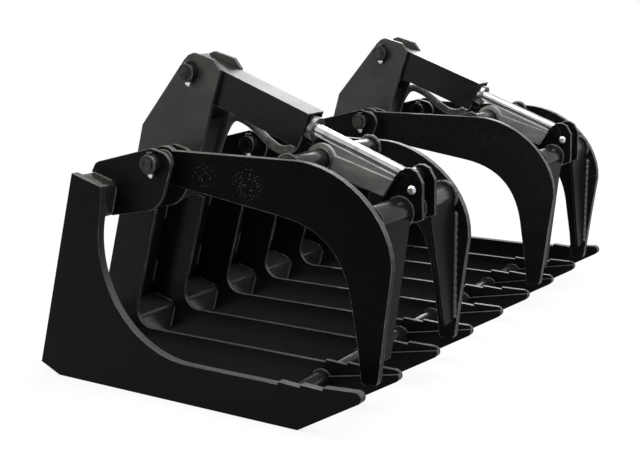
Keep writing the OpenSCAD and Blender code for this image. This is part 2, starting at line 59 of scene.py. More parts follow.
# Sizes are in millimetres. A pin or pipe is placed by the Y and Z of its axis, a half size runs
# from the middle to a face, and the tube's sizes run along the lean of the back and square to it.
MM = 0.001
BOTH = (-1.0, 1.0)
LEAN = math.radians(16.0)
BACK_FOOT = (520.0, 30.0)
PITCH = 228.6
JAW_X = 2.5 * PITCH
TINE_XS = tuple((index - 4) * PITCH for index in range(1, 8))
ARM_XS = (-JAW_X - PITCH, -JAW_X + PITCH, JAW_X - PITCH, JAW_X + PITCH)
HINGE = (121.0, 637.5)
TOWER_PIN = (163.0, 866.0)
CLEVIS_PIN = (-512.0, 608.5)
FRONT_PIPE = (-308.0, 48.0)
JAW_PIPE = (-503.0, 524.0)
REAR_PIPE = (-268.0, 645.0)
PIPE_R = 30.15
JAW_PIPE_R = 38.0
SLEEVE_R = 30.0
TUBE_SIZE = 100.0
TUBE_FOOT = 493.0
TUBE_TOP = TUBE_FOOT + TUBE_SIZE
TUBE_FRONT = 105.0
TUBE_REAR = TUBE_FRONT - TUBE_SIZE
CORNER_TUBE_TOP = 116.0
END_PLATE_FACE = 902.3
TINE_HALF = 6.0
ARM_HALF = 10.0
FORK_HALF = 43.0
PLATE_T = 12.7
BRACKET_T = 12.0
RIM = 1.1
SAME_POINT = 0.002

WHITE = (1.0, 1.0, 1.0, 1.0)
RIM_ANGLE = math.radians(34.0)
SHARP_ANGLE = math.radians(30.0)


class Side(Enum):
    """The two jaws, named as the driver sees them, with the X of their middle."""

    RIGHT = ("right", -JAW_X)
    LEFT = ("left", JAW_X)

    @property
    def label(self) -> str:
        """The word used in node and body names."""
        return self.value[0]

    @property
    def x(self) -> float:
        """X of the jaw's middle, in millimetres."""
        return self.value[1]


class Specks(Enum):
    """How dried water shows on a painted face: the colour of a drop and how strongly it covers."""

    NONE = None
    PALE = ((0.13, 0.13, 0.125), 0.55)
    DARK = ((0.001, 0.001, 0.001), 0.9)


def lean_point(x: float, u: float, v: float) -> Array:
    """A point of the leaning back.

    Args:
        x: place across the width, in millimetres.
        u: distance up the back edge from its foot.
        v: distance square to the back edge, towards the front.

    Returns:
        The point as X, Y and Z in millimetres.
    """
    sin, cos = math.sin(LEAN), math.cos(LEAN)
    return np.array([x, BACK_FOOT[0] - u * sin - v * cos, BACK_FOOT[1] + u * cos - v * sin])


def unit(vector: Array) -> Array:
    """A vector, or each row of an array of them, at length 1."""
    return vector / np.linalg.norm(vector, axis=-1, keepdims=True)


def turn_to(back: Array, right: Array) -> Matrix:
    """The turn of a camera or lamp whose local Z points back and whose local X points right."""
    up = np.cross(back, right)
    return Matrix([[right[i], up[i], back[i]] for i in range(3)]).to_4x4()


# Directions: up the leaning back, forward out of it, and along X, Y and Z.
UP_BACK = np.array([0.0, -math.sin(LEAN), math.cos(LEAN)])
OUT_BACK = np.array([0.0, -math.cos(LEAN), -math.sin(LEAN)])
ACROSS = np.array([1.0, 0.0, 0.0])
REARWARD = np.array([0.0, 1.0, 0.0])
UPWARD = np.array([0.0, 0.0, 1.0])


class Signal:
    """An output socket that takes part in Python arithmetic; each operator adds a Math node."""

    def __init__(self, graph: "Graph", socket: bpy.types.NodeSocket) -> None:
        """Keeps the socket and the graph that it belongs to."""
        self.graph = graph
        self.socket = socket

    def _math(self, operation: str, a: "Signal | float", b: "Signal | float") -> "Signal":
        """One Math node with two operands."""
        return self.graph.node("ShaderNodeMath", {"operation": operation}, {0: a, 1: b})

    def __add__(self, other: "Signal | float") -> "Signal":
        """Sum of the two."""
        return self._math("ADD", self, other)

    __radd__ = __add__

    def __mul__(self, other: "Signal | float") -> "Signal":
        """Product of the two."""
        return self._math("MULTIPLY", self, other)

    __rmul__ = __mul__

    def __sub__(self, other: "Signal | float") -> "Signal":
        """This one less the other."""
        return self._math("SUBTRACT", self, other)

    def __rsub__(self, other: "Signal | float") -> "Signal":
        """The other less this one."""
        return self._math("SUBTRACT", other, self)

    def higher(self, other: "Signal | float") -> "Signal":
        """The larger of the two."""
        return self._math("MAXIMUM", self, other)

    def step(self, low: float, high: float) -> "Signal":
        """Rises smoothly from 0 to 1 between low and high, or falls where low is the larger."""
        first, last = (0.0, 1.0) if low < high else (1.0, 0.0)
        return self.graph.node(
            "ShaderNodeMapRange",
            {"interpolation_type": "SMOOTHSTEP"},
            {0: self, 1: min(low, high), 2: max(low, high), 3: first, 4: last},
        )


class Graph:
    """The node tree of one material or of the world, with one method that adds any node."""

    def __init__(self, owner: bpy.types.Material | bpy.types.World) -> None:
        """Empties the owner's node tree."""
        self.owner = owner
        owner.use_nodes = True
        self.tree = owner.node_tree
        self.tree.nodes.clear()

    @classmethod
    def of_material(cls, name: str) -> "Graph":
        """The graph of a new material of that name."""
        return cls(bpy.data.materials.new(name))

    def node(self, kind: str, settings: dict | None = None, inputs: dict | None = None,
             output: int | str = 0) -> Signal:
        """Adds a node.

        Args:
            kind: the node's type.
            settings: its own settings, set before the sockets.
            inputs: values or signals by socket name or number.
            output: the output that is wanted.

        Returns:
            That output as a signal.
        """
        made = self.tree.nodes.new(kind)
        for key, value in (settings or {}).items():
            setattr(made, key, value)
        for key, value in (inputs or {}).items():
            if isinstance(value, Signal):
                self.tree.links.new(value.socket, made.inputs[key])
            else:
                made.inputs[key].default_value = value
        return Signal(self, made.outputs[output])

    def place(self, output: str = "Object") -> Signal:
        """Object coordinates, or the named output of Texture Coordinate."""
        return self.node("ShaderNodeTexCoord", output=output)

    def noise(self, where: Signal, scale: float, detail: float = 3.0) -> Signal:
        """Soft noise from 0 to 1 at a scale in waves a metre."""
        return self.node("ShaderNodeTexNoise", None, {"Vector": where, "Scale": scale, "Detail": detail})

    def stretch(self, where: Signal, scale: Place) -> Signal:
        """The place with each axis scaled, so that a pattern runs along one of them."""
        return self.node("ShaderNodeMapping", None, {"Vector": where, "Scale": scale})

    def blend(self, amount: Signal, low: Signal | Colour, high: Signal | Colour) -> Signal:
        """A colour between two, each of them fixed or a signal, by amount."""
        low, high = (end if isinstance(end, Signal) else (*end, 1.0) for end in (low, high))
        return self.node("ShaderNodeMix", {"data_type": "RGBA"}, {0: amount, 6: low, 7: high}, 2)

    def part(self, vector: Signal, axis: int) -> Signal:
        """One component of a vector: 0, 1 or 2 for X, Y or Z."""
        return self.node("ShaderNodeSeparateXYZ", None, {0: vector}, axis)

    def rays(self, *kinds: str) -> Signal:
        """1 for rays of any of these kinds, by the outputs of Light Path, and 0 for the rest."""
        first, *others = (self.node("ShaderNodeLightPath", output=kind) for kind in kinds)
        for other in others:
            first = first.higher(other)
        return first

    def spots(self, where: Signal, scale: float, size: float, share: float) -> Signal:
        """Round spots: a cell of the pattern holds one where its own random value is under share."""
        cell = {"Vector": where, "Scale": scale, "Randomness": 1.0}
        away = self.node("ShaderNodeTexVoronoi", None, cell, "Distance")
        chance = self.node("ShaderNodeTexVoronoi", None, cell, "Color")
        red = self.node("ShaderNodeSeparateColor", None, {0: chance})
        return away.step(size, size * 0.55) * red.step(share, share * 0.9)

    def bump(self, height: Signal, strength: float, distance: float) -> Signal:
        """A bumped normal."""
        return self.node(
            "ShaderNodeBump", None, {"Height": height, "Strength": strength, "Distance": distance}
        )

    def finish(self, inputs: dict) -> bpy.types.Material:
        """Ends the tree with a Principled shader that takes these inputs."""
        return self.surface(self.node("ShaderNodeBsdfPrincipled", None, inputs))

    def surface(self, shader: Signal) -> bpy.types.Material | bpy.types.World:
        """Links a shader to the owner's surface and returns the owner."""
        kind = "World" if isinstance(self.owner, bpy.types.World) else "Material"
        out = self.tree.nodes.new(f"ShaderNodeOutput{kind}")
        self.tree.links.new(shader.socket, out.inputs["Surface"])
        return self.owner


@dataclass(frozen=True)
class Paint:
    """Semi-gloss powder coat over steel plate, with orange peel, dust and dried drops.

    The cut tone is a painted highlight on the faces that show a plate's thickness, strongest where
    they look up and streaked along the cut; 0 leaves them as the rest. clusters are spots of dense
    drops: Y, Z and radius in metres. scatter is how much the other drops show.
    """

    name: str
    tone: float = 0.0075
    rough: float = 0.3
    specks: Specks = Specks.PALE
    dust: float = 0.5
    gloss: float = 0.26
    # Tone of the painted highlight on the cut faces; 0 for none.
    cut: float = 0.0
    clusters: tuple[Place, ...] = ()
    scatter: float = 1.0

    def make(self) -> bpy.types.Material:
        """Builds the material."""
        g = Graph.of_material(self.name)
        at = g.place()
        cloud = g.noise(at, 5.5)
        smear = g.noise(g.stretch(at, (3.0, 3.0, 14.0)), 2.2, 5.0)
        peel = g.noise(at, 520.0, 2.0)
        grit = g.noise(at, 1500.0, 1.0)
        patch = g.noise(at, 4.2, 2.0).step(0.46, 0.62)
        drops = g.spots(at, 95.0, 0.22, 0.22) * patch
        fine = g.spots(at, 210.0, 0.26, 0.14) * g.noise(at, 7.0, 2.0).step(0.42, 0.6)
        film = (cloud.step(0.35, 0.8) * 0.6 + smear.step(0.4, 0.85) * 0.4) * self.dust
        deep = (self.tone, self.tone, self.tone * 1.03)
        high = (self.tone * 2.6, self.tone * 2.55, self.tone * 2.5)
        colour = g.blend(film, deep, high)
        marks = drops.higher(fine) * self.scatter
        for y, z, radius in self.clusters:
            near = self.nearness(g, at, y, z, radius)
            marks = marks.higher(g.spots(at, 150.0, 0.30, 0.55) * near)
        # Painted highlight on the cut faces: a pale tone streaked along the cut, laid on most where a cut
        # face looks up.
        if self.cut:
            torn = g.noise(g.stretch(at, (260.0, 6.0, 6.0)), 1.0, 3.0).step(0.2, 0.9)
            rim = g.blend(torn, (self.cut * 0.65,) * 3, (self.cut * 1.3,) * 3)
            colour = g.blend(self.painted_cut_light(g), colour, rim)
        if self.specks is not Specks.NONE:
            spot, strength = self.specks.value
            colour = g.blend(marks * strength, colour, spot)
        roughness = film * 0.22 + (self.rough - 0.05) + grit * 0.06 + marks * 0.12
        height = peel * 0.55 + grit * 0.15 + marks * 1.6
        return g.finish({
            "Base Color": colour, "Roughness": roughness, "Specular IOR Level": self.gloss,
            "Normal": g.bump(height, 0.35, 0.0004),
        })

    def painted_cut_light(self, g: Graph) -> Signal:
        """How much of the painted highlight a cut face takes, from the object's normal.

        Args:
            g: the graph that takes the nodes.

        Returns:
            1 on cut faces that look up, 0.2 on those that look down and 0 on the plate's two sides, as
            painted light from above.
        """
        normal = g.place("Normal")
        across = g.node("ShaderNodeMath", {"operation": "ABSOLUTE"}, {0: g.part(normal, 0)})
        # Painted light from above: a cut face that looks up takes the whole highlight, one that looks down
        # a fifth.
        lit_from_above = g.part(normal, 2).step(-0.1, 0.6) * 0.8 + 0.2
        return across.step(0.6, 0.25) * lit_from_above

    def nearness(self, g: Graph, at: Signal, y: float, z: float, radius: float) -> Signal:
        """Falls from 1 at a point of the YZ plane to 0 at a radius round it, all in metres."""
        flat = g.stretch(at, (0.0, 1.0, 1.0))
        away = g.node("ShaderNodeVectorMath", {"operation": "DISTANCE"}, {0: flat, 1: (0.0, y, z)}, "Value")
        return away.step(radius, radius * 0.35)


@dataclass(frozen=True)
class RimHighlight:
    """The narrow rounded rim of a plate, painted pale as a highlight and paler still in rubbed patches."""

    name: str = "rim_painted_highlight"

    def make(self) -> bpy.types.Material:
        """Builds the material."""
        g = Graph.of_material(self.name)
        at = g.place()
        rub_and_glint = g.noise(at, 38.0, 4.0).step(0.42, 0.72)
        # Painted highlight: the rim colour is pale all over, and paler where the noise marks rubbing.
        colour = g.blend(rub_and_glint, (0.03, 0.03, 0.031), (0.16, 0.16, 0.158))
        return g.finish({
            "Base Color": colour, "Roughness": rub_and_glint * 0.12 + 0.24, "Specular IOR Level": 0.36,
            "Normal": g.bump(g.noise(at, 900.0), 0.3, 0.0003),
        })


@dataclass(frozen=True)
class Metal:
    """Bare or plated metal, turned or brushed along one axis.

    high is the clean colour and low the stained one. grain is how fine the brushing is on each axis.
    """

    name: str
    low: Colour
    high: Colour
    rough: float
    grain: Place = (900.0, 40.0, 40.0)

    def make(self) -> bpy.types.Material:
        """Builds the material."""
        g = Graph.of_material(self.name)
        at = g.place()
        lines = g.noise(g.stretch(at, self.grain), 1.0, 4.0)
        stain = g.noise(at, 24.0, 4.0).step(0.4, 0.75)
        return g.finish({
            "Base Color": g.blend(stain, self.high, self.low),
            "Roughness": stain * 0.14 + lines * 0.08 + (self.rough - 0.04),
            "Metallic": 1.0,
            "Normal": g.bump(lines, 0.12, 0.0002),
        })


@dataclass(frozen=True)
class Sleeve:
    """Woven sleeve over a hose: two families of diagonal strands on the piece's own UV map."""

    name: str
    strands: float = 26.0
    low: Colour = (0.006, 0.006, 0.0065)
    high: Colour = (0.075, 0.075, 0.078)

    def make(self) -> bpy.types.Material:
        """Builds the material."""
        g = Graph.of_material(self.name)
        uv = g.place("UV")
        ways = []
        for lean in (1.0, -1.0):
            turned = g.node(
                "ShaderNodeVectorMath", {"operation": "DOT_PRODUCT"},
                {0: uv, 1: (self.strands * math.tau, lean * self.strands * math.tau, 0.0)}, "Value",
            )
            ways.append(g.node("ShaderNodeMath", {"operation": "SINE"}, {0: turned}))
        weave = ways[0].higher(ways[1]).step(-0.2, 1.0)
        dusty = g.noise(g.place(), 60.0, 3.0).step(0.35, 0.7)
        return g.finish({
            "Base Color": g.blend(weave * (0.35 + dusty * 0.65), self.low, self.high),
            "Roughness": 0.62 - weave * 0.2, "Specular IOR Level": 0.4,
            "Normal": g.bump(weave, 0.8, 0.0012),
        })


@dataclass(frozen=True)
class Stage:
    """Pale floor that the camera, mirrors and glass see as nearly white, with the shadow kept.

    The lift towards white grows from near to 1 between two distances from the origin, so that the
    floor's far edge can't be told from the surroundings.
    """

    name: str
    colour: float = 0.8
    lift: float = 0.86
    near: float = 0.9
    far: float = 2.6

    def make(self) -> bpy.types.Material:
        """Builds the material."""
        g = Graph.of_material(self.name)
        plain = g.node("ShaderNodeBsdfDiffuse", None, {0: (self.colour,) * 3 + (1.0,)})
        white = g.node("ShaderNodeEmission", None, {0: WHITE, 1: 1.0})
        seen = g.rays("Is Camera Ray", "Is Glossy Ray", "Is Transmission Ray")
        away = g.node("ShaderNodeVectorMath", {"operation": "LENGTH"}, {0: g.place()}, "Value")
        lift = away.step(self.near, self.far) * (1.0 - self.lift) + self.lift
        return g.surface(g.node("ShaderNodeMixShader", None, {0: seen * lift, 1: plain, 2: white}))


def grid_faces(rows: int, columns: int, loop: bool) -> Array:
    """Quads of a grid whose columns close on themselves.

    Args:
        rows: number of rings.
        columns: points in a ring.
        loop: whether the last ring joins the first.

    Returns:
        Vertex numbers, four a face.
    """
    ring = np.arange(rows if loop else rows - 1)
    i, j = np.meshgrid(ring, np.arange(columns), indexing="ij")
    after, beside = (i + 1) % rows, (j + 1) % columns
    quads = [i * columns + j, i * columns + beside, after * columns + beside, after * columns + j]
    return np.stack(quads, axis=-1).reshape(-1, 4)


Patch = tuple[Array, Array]


def add_object(name: str, data: bpy.types.ID) -> bpy.types.Object:
    """A new object in the scene, at the origin."""
    made = bpy.data.objects.new(name, data)
    bpy.context.scene.collection.objects.link(made)
    return made


def values_of(elements: bpy.types.bpy_prop_collection, attribute: str, kind: type) -> Array:
    """One number of every element of a mesh, such as the vertex of each loop."""
    values = np.zeros(len(elements), kind)
    elements.foreach_get(attribute, values)
    return values


def make_piece(name: str, patches: list[Patch], body: str,
               material: bpy.types.Material) -> bpy.types.Object:
    """Joins patches into one closed, smooth mesh that rides on a body.

    Args:
        name: the piece's name.
        patches: points in millimetres and quads, patch by patch.
        body: the body that carries it, or an empty name to leave it on no body.
        material: its finish.

    Returns:
        The new object.
    """
    starts = np.cumsum([0] + [len(points) for points, _ in patches])
    points = np.concatenate([points for points, _ in patches]) * MM
    faces = np.concatenate([quads + start for (_, quads), start in zip(patches, starts)])
    mesh = bpy.data.meshes.new(name)
    mesh.vertices.add(len(points))
    mesh.vertices.foreach_set("co", points.astype(np.float32).ravel())
    mesh.loops.add(faces.size)
    mesh.loops.foreach_set("vertex_index", faces.astype(np.int32).ravel())
    mesh.polygons.add(len(faces))
    mesh.polygons.foreach_set("loop_start", np.arange(0, faces.size, 4, dtype=np.int32))
    mesh.update(calc_edges=True)
    shell = bmesh.new()
    shell.from_mesh(mesh)
    bmesh.ops.remove_doubles(shell, verts=shell.verts, dist=SAME_POINT * MM)
    bmesh.ops.recalc_face_normals(shell, faces=shell.faces)
    shell.to_mesh(mesh)
    shell.free()
    mesh.shade_smooth()
    made = add_object(name, mesh)
    mesh.materials.append(material)
    if body:
        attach(made, body)
    log.info("%s: %d faces on %s", name, len(mesh.polygons), body or "two bodies")
    return made


def round_rims(piece: bpy.types.Object) -> None:
    """Rounds the sharp edges of a piece and gives them its second finish, on painted parts the painted rim
    highlight.
    """
    rim = piece.modifiers.new("rim", "BEVEL")
    rim.width = RIM * MM
    rim.segments = 2
    rim.limit_method = "ANGLE"
    rim.angle_limit = RIM_ANGLE
    rim.material = 1


NEAR_ARM_DROPS = ((-0.011, 0.612, 0.050), (-0.160, 0.600, 0.065))
# A cut value is the tone of the painted highlight on that finish's cut faces.
FINISHES = {
    "side": Paint("plate_paint", tone=0.0032, rough=0.34, specks=Specks.NONE, dust=0.3,
                  gloss=0.045, cut=0.08),
    "flat": Paint("attach_paint", tone=0.006, rough=0.30, specks=Specks.NONE, gloss=0.2),
    "arm": Paint("arm_paint", tone=0.0045, rough=0.34, dust=0.4, gloss=0.05, cut=0.09),
    "near_arm": Paint("near_arm_paint", tone=0.0022, rough=0.34, dust=0.3, gloss=0.022,
                      cut=0.09, clusters=NEAR_ARM_DROPS, scatter=0.12),
    "tine": Paint("tine_paint", tone=0.0042, rough=0.24, specks=Specks.DARK, gloss=0.09,
                  cut=0.065),
    "tower": Paint("tower_paint", tone=0.019, rough=0.30, specks=Specks.DARK, dust=0.9,
                   gloss=0.28),
    "guard": Paint("guard_paint", tone=0.006, rough=0.28, specks=Specks.DARK, dust=0.6,
                   gloss=0.13),
    "tube": Paint("tube_paint", tone=0.012, rough=0.26, specks=Specks.DARK, dust=0.8, gloss=0.36),
    # The strap's pale tone is a painted sheen: black paint coloured as the reflection it shows.
    "strap": Paint("strap_paint_painted_sheen", tone=0.13, rough=0.28, specks=Specks.DARK, dust=1.0, gloss=0.7),
    "web": Paint("web_paint", tone=0.0035, rough=0.32, specks=Specks.NONE, gloss=0.03),
    "pipe": Paint("pipe_paint", tone=0.005, rough=0.20, specks=Specks.NONE, gloss=0.28),
    "weld": Paint("weld_paint", tone=0.014, rough=0.20, specks=Specks.NONE, dust=0.9, gloss=0.5),
    "bolt": Metal("bolt_black", low=(0.015, 0.015, 0.016), high=(0.06, 0.06, 0.062), rough=0.26),
    "chrome": Metal("rod_chrome", low=(0.30, 0.31, 0.32), high=(0.50, 0.51, 0.52), rough=0.08,
                    grain=(60.0, 900.0, 900.0)),
    "pin": Metal("pin_steel", low=(0.012, 0.012, 0.013), high=(0.045, 0.045, 0.047), rough=0.24),
    "gland": Metal("gland_steel", low=(0.07, 0.07, 0.075), high=(0.20, 0.20, 0.21), rough=0.28),
    "zinc": Metal("zinc_plate", low=(0.50, 0.50, 0.49), high=(0.78, 0.79, 0.80), rough=0.30),
    "hose": Sleeve("plain_hose"),
    "sleeve": Sleeve("hose_sleeve", high=(0.16, 0.16, 0.165)),
    # Painted highlight on the rounded rims.
    "edge": RimHighlight(),
}

# The finish of a node is that of the first word here that its name holds, and side for the rest.
NODE_FINISHES = (
    ("hose_ports", "zinc"), ("hose", "hose"), ("cross_bolts", "zinc"), ("_rod_eye", "pipe"),
    ("_rod", "chrome"), ("gland", "gland"), ("_pin", "pin"), ("pins", "pin"),
    ("collars", "pipe"), ("pipe", "pipe"), ("sleeves", "pipe"),
    ("right_outer_arm", "near_arm"), ("arm", "arm"), ("tine_", "tine"),
    ("tower_webs", "flat"), ("attach", "flat"), ("tower", "tower"),
    ("guard", "guard"), ("straps", "strap"), ("webs", "web"), ("tube", "tube"),
)


@dataclass
class Steelwork:
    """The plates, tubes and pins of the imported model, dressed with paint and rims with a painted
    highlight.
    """

    merge: float = 0.02

    def finish_of(self, node: str) -> str:
        """The plain name of a node's finish."""
        return next((finish for word, finish in NODE_FINISHES if word in node), "side")

    def dress(self, finishes: Finishes) -> None:
        """Gives every node its finish, and all but the hoses a rounded rim on their sharp edges."""
        for name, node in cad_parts.items():
            finish = self.finish_of(name)
            if not node.data.materials:
                node.data.materials.append(None)
            node.data.materials[0] = finishes[finish]
            node.data.materials.append(finishes[finish if finish in ("chrome", "hose") else "edge"])
            if finish == "hose":
                continue
            weld = node.modifiers.new("joined", "WELD")
            weld.merge_threshold = self.merge * MM
            round_rims(node)
            log.info("%s: %s", name, finish)


@dataclass
class HingeBrackets:
    """The plates that carry the hinge pins, with their sloping top, round nose and swept underside.

    Places are Y and Z in millimetres. The outline keeps a weld gap from the top tube.
    """

    hole_r: float = 16.05
    weld_gap: float = 0.1
    tube_corner_r: float = 12.8
    rear_land: float = 8.0
    front_rise: float = 4.0
    rear: tuple[Pair, ...] = ((334.0, 622.0), (322.0, 629.0))
    apex: Pair = (129.0, 678.0)
    nose: Pair = (102.0, 633.0)
    nose_r: float = 38.0
    nose_span: Pair = (112.0, 205.0)
    sweep: Pair = (175.0, 590.0)
    sweep_r: float = 91.0
    sweep_span: Pair = (194.5, 250.0)
    step: float = 3.0

    def arc(self, centre: Pair, radius: float, span: Pair) -> Array:
        """Points on a circle from one angle to another, in degrees from +Y towards +Z."""
        angle = np.radians(np.linspace(*span, 25))
        return np.array(centre) + radius * np.stack([np.cos(angle), np.sin(angle)], axis=1)

    def outline(self) -> Array:
        """The closed outline: up the rear, over the apex and nose, under and round the top tube."""
        top = TUBE_TOP + self.weld_gap
        front = TUBE_FRONT + self.weld_gap
        radius = self.tube_corner_r + self.weld_gap
        corner = [
            lean_point(0.0, top - radius + radius * math.sin(a), front - radius + radius * math.cos(a))
            for a in np.radians(np.linspace(0.0, 90.0, 9))
        ]
        corners = np.vstack([
            lean_point(0.0, top, self.rear_land)[1:], self.rear, self.apex,
            self.arc(self.nose, self.nose_r, self.nose_span),
            self.arc(self.sweep, self.sweep_r, self.sweep_span),
            lean_point(0.0, TUBE_FOOT + self.front_rise, front)[1:], np.array(corner)[:, 1:],
        ])
        after = np.roll(corners, -1, axis=0)
        counts = np.maximum(np.ceil(np.linalg.norm(after - corners, axis=1) / self.step), 1).astype(int)
        start = np.repeat(np.arange(len(corners)), counts)
        share = (np.arange(len(start)) - np.repeat(np.cumsum(counts) - counts, counts)) / counts[start]
        return corners[start] + share[:, None] * (after - corners)[start]

    def plate(self, x: float, edge: Array) -> Patch:
        """One plate: a ring round the pin's hole, carried to the outline at the same angles.

        The four rows are hole, outline, outline and hole, on one side and then on the other, and the
        last row joins the first along the wall of the hole.
        """
        hole = np.array(HINGE) + self.hole_r * unit(edge - np.array(HINGE))
        far = x + BRACKET_T
        rows = [
            np.column_stack([np.full(len(edge), place), ring])
            for place, ring in ((x, hole), (x, edge), (far, edge), (far, hole))
        ]
        return np.concatenate(rows), grid_faces(4, len(edge), loop=True)

    def fit(self, finishes: Finishes) -> None:
        """Makes the four pairs of plates."""
        edge = self.outline()
        names = ("right_outer", "right_inner", "left_inner", "left_outer")
        for name, x in zip(names, ARM_XS):
            pair = [self.plate(x - FORK_HALF - BRACKET_T, edge), self.plate(x + FORK_HALF, edge)]
            made = make_piece(f"{name}_bracket_plates", pair, "frame", finishes["side"])
            made.data.materials.append(finishes["edge"])
            made.data.set_sharp_from_angle(angle=SHARP_ANGLE)
            round_rims(made)
            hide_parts(f"{name}_bracket")


@dataclass
class WeldBeads:
    """Fillet welds: a convex section in the corner of two faces, with the ripples of each pass.

    Legs, pitch and places are in millimetres. A span is where a bead starts and ends, and an inset
    is how far it stays from both edges. web_front and web_rear are the Y of a jaw web's two faces and
    which way each looks.
    """

    leg: float = 6.0
    small_leg: float = 5.0
    jaw_pipe_leg: float = 9.0
    jaw_web_leg: float = 10.0
    sleeve_leg: float = 4.5
    pitch: float = 5.0
    samples: int = 4
    section: int = 7
    corner_span: Pair = (18.0, 92.0)
    corner_front: Pair = (104.0, 30.0)
    under_span: Pair = (14.0, 96.0)
    end_inset: float = 12.0
    carrier_span: Pair = (16.0, 92.0)
    carrier_inset: float = 10.0
    attach_half: float = 560.0
    attach_stitches: tuple[Pair, ...] = ((148.0, 232.0), (372.0, 440.0))
    web_front: Pair = (-541.0, -1.0)
    web_rear: Pair = (-533.0, 1.0)
    web_span: Pair = (172.0, 486.0)

    def bead(self, path: Array, first: Array, second: Array, leg: float, loop: bool) -> Patch:
        """A bead along a path.

        A ring is the corner point and an arc from leg along one face to leg along the other, bulged
        by a quarter of the leg. The leg swells and shrinks once a pitch, later in the middle of the
        arc than at its ends, and runs out to nothing at the ends of an open bead.

        Args:
            path: corner points in millimetres.
            first: outward normal of the first face at each point.
            second: outward normal of the second face at each point.
            leg: length of the fillet's legs.
            loop: whether the bead closes on itself.

        Returns:
            Points and quads.
        """
        count = len(path)
        t = np.linspace(0.0, 1.0, self.section)[None, :, None]
        index = np.arange(count)[:, None, None]
        phase = math.tau * index / self.samples + 1.9 * np.sin(np.pi * t)
        wander = 1.0 + 0.08 * np.sin(index * 0.37 + path[0].sum()) + 0.09 * np.cos(phase)
        if not loop:
            ends = np.minimum(index, count - 1 - index) / (1.5 * self.samples)
            wander = wander * np.sqrt(np.clip(ends, 0.0, 1.0))
        one, two = first[:, None, :], second[:, None, :]
        arc = (1.0 - t) * two + t * one + 0.25 * np.sin(np.pi * t) * (one + two)
        ring = path[:, None, :] + leg * wander * arc
        points = np.concatenate([path[:, None, :], ring], axis=1).reshape(-1, 3)
        return points, grid_faces(count, self.section + 1, loop)

    def line(self, start: Array, end: Array, first: Array, second: Array, leg: float = 0.0) -> Patch:
        """A straight bead from start to end between two flat faces with these normals."""
        length = float(np.linalg.norm(end - start))
        count = max(int(length / self.pitch * self.samples), 4 * self.samples) + 1
        s = np.linspace(0.0, 1.0, count)[:, None]
        path = start + s * (end - start)
        return self.bead(path, np.tile(first, (count, 1)), np.tile(second, (count, 1)),
                         leg or self.leg, False)

    def ring(self, x: float, centre: Pair, radius: float, facing: float,
             leg: float = 0.0) -> Patch:
        """A bead round a pipe that meets a plate.

        Args:
            x: place of the plate's face.
            centre: Y and Z of the pipe's axis.
            radius: the pipe's radius.
            facing: 1 or -1, the side along X on which the bead lies.
            leg: length of the fillet's legs.

        Returns:
            Points and quads.
        """
        count = int(math.tau * radius / self.pitch) * self.samples
        angle = np.arange(count) * math.tau / count
        radial = np.stack([np.zeros(count), np.cos(angle), np.sin(angle)], axis=1)
        path = np.array([x, *centre]) + radius * radial
        face = np.tile(ACROSS * facing, (count, 1))
        return self.bead(path, face, radial, leg or self.leg, True)

    def up_back(self, face: float, span: Pair, v: float, normal: Array, out: Array,
                leg: float = 0.0) -> Patch:
        """A bead on a plate's face, up or down the back at one distance v from its edge."""
        start, end = (lean_point(face, u, v) for u in span)
        return self.line(start, end, normal, out, leg)

    def along_lean(self, face: float, u: float, span: Pair, normal: Array, out: Array,
                   leg: float = 0.0) -> Patch:
        """A bead on a plate's face, forward at one height u up the back."""
        start, end = (lean_point(face, u, v) for v in span)
        return self.line(start, end, normal, out, leg)

    def tine_beads(self) -> list[Patch]:
        """The beads of the tines on the attach plate and on both tubes."""
        beads: list[Patch] = []
        for x in TINE_XS:
            for side in BOTH:
                face = x + side * TINE_HALF
                normal = ACROSS * side
                if abs(x) < self.attach_half:
                    for span in self.attach_stitches:
                        beads.append(self.up_back(face, span, 0.0, normal, OUT_BACK))
                leg = self.small_leg
                beads += [
                    self.along_lean(face, CORNER_TUBE_TOP, self.corner_span, normal, UP_BACK, leg),
                    self.up_back(face, self.corner_front, TUBE_FRONT, normal, OUT_BACK, leg),
                    self.along_lean(face, TUBE_FOOT, self.under_span, normal, -UP_BACK, leg),
                ]
        return beads

    def pipe_beads(self) -> list[Patch]:
        """The rings round the front pipe, and the beads of the top tube on the end plates."""
        beads = [self.ring(x + side * TINE_HALF, FRONT_PIPE, PIPE_R, side, self.small_leg)
                 for x in TINE_XS for side in BOTH]
        rise = (TUBE_FOOT + self.end_inset, TUBE_TOP - self.end_inset)
        for side in BOTH:
            x = side * END_PLATE_FACE
            inward = -ACROSS * side
            beads += [
                self.ring(x, FRONT_PIPE, PIPE_R, -side),
                self.along_lean(x, TUBE_TOP, self.corner_span, inward, UP_BACK),
                self.along_lean(x, TUBE_FOOT, self.corner_span, inward, -UP_BACK),
                self.up_back(x, rise, TUBE_FRONT, inward, OUT_BACK),
                self.up_back(x, rise, TUBE_REAR, inward, -OUT_BACK),
            ]
        return beads

    def carrier_beads(self) -> list[Patch]:
        """The beads of the towers and hinge brackets on the top tube."""
        beads: list[Patch] = []
        carriers = [(side.x, PLATE_T) for side in Side] + [(x, BRACKET_T) for x in ARM_XS]
        drop = (TUBE_TOP - self.carrier_inset, TUBE_FOOT + self.carrier_inset)
        for middle, thick in carriers:
            for side in BOTH:
                for face, way in ((FORK_HALF, -side), (FORK_HALF + thick, side)):
                    x = middle + side * face
                    normal = ACROSS * way
                    beads += [
                        self.along_lean(x, TUBE_TOP, self.carrier_span, normal, UP_BACK),
                        self.up_back(x, drop, TUBE_FRONT, normal, OUT_BACK),
                    ]
        return beads

